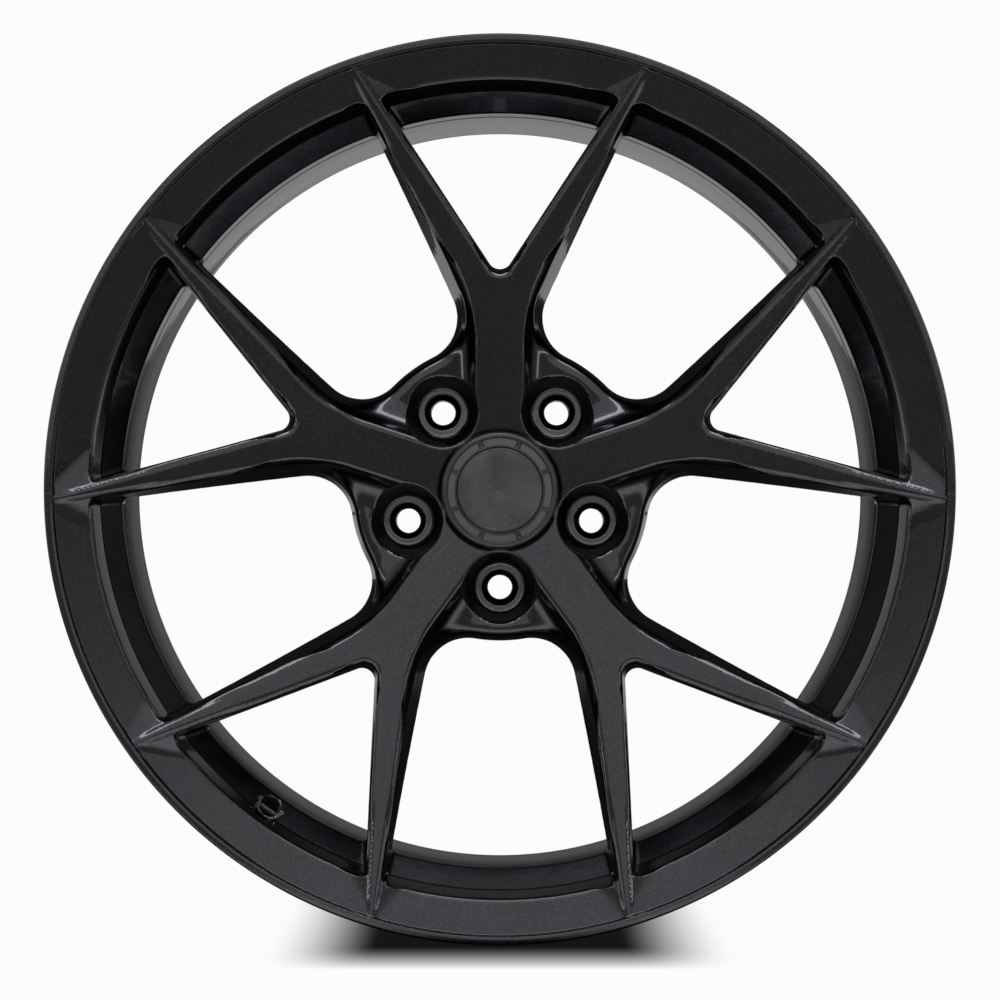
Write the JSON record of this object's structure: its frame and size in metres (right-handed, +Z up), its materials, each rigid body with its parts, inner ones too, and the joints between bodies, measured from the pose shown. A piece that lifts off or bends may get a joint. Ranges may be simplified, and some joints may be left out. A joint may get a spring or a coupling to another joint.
{
  "type": "forged racing wheel",
  "caption": "Forged racing wheel rim with Y-shaped spokes, a dished face, a drop-centre barrel, cone-seat bolt holes and a pull-off centre cap; no tyre or valve fitted.",
  "frame": {"origin": "on the axle's line, midway between the outer and inner edges of the rim: the centre of the bounding box", "axes": "+Y along the axle from the outer (styled) face to the brake side, +X to the right seen from the outer face, +Z up; one spoke points up"},
  "size_m": [0.5224, 0.24, 0.5224],
  "materials": {
    "forging_paint": "deep gloss black over forged aluminium, with a fine metallic flake under clear coat",
    "cap_shell_paint": "semi-gloss black moulding",
    "cap_badge_metal": "dark grey satin metallic",
    "spring_steel": "drawn spring wire"
  },
  "bodies": {
    "wheel": {"rim_outer_lip": "forging_paint", "rim_drop_centre": "forging_paint", "rim_rear_ledge": "forging_paint", "rim_rear_flange": "forging_paint", "hub": "forging_paint", "y_spoke_1": "forging_paint", "y_spoke_2": "forging_paint", "y_spoke_3": "forging_paint", "y_spoke_4": "forging_paint", "y_spoke_5": "forging_paint"},
    "centre_cap": {"cap_shell": "cap_shell_paint", "cap_badge": "cap_badge_metal", "cap_spring_ring": "spring_steel"}
  },
  "joints": [
    {"name": "cap_pull", "type": "slide", "parent": "wheel", "child": "centre_cap", "axis": [0, -1, 0], "range_m": [0, 0.04]}
  ]
}
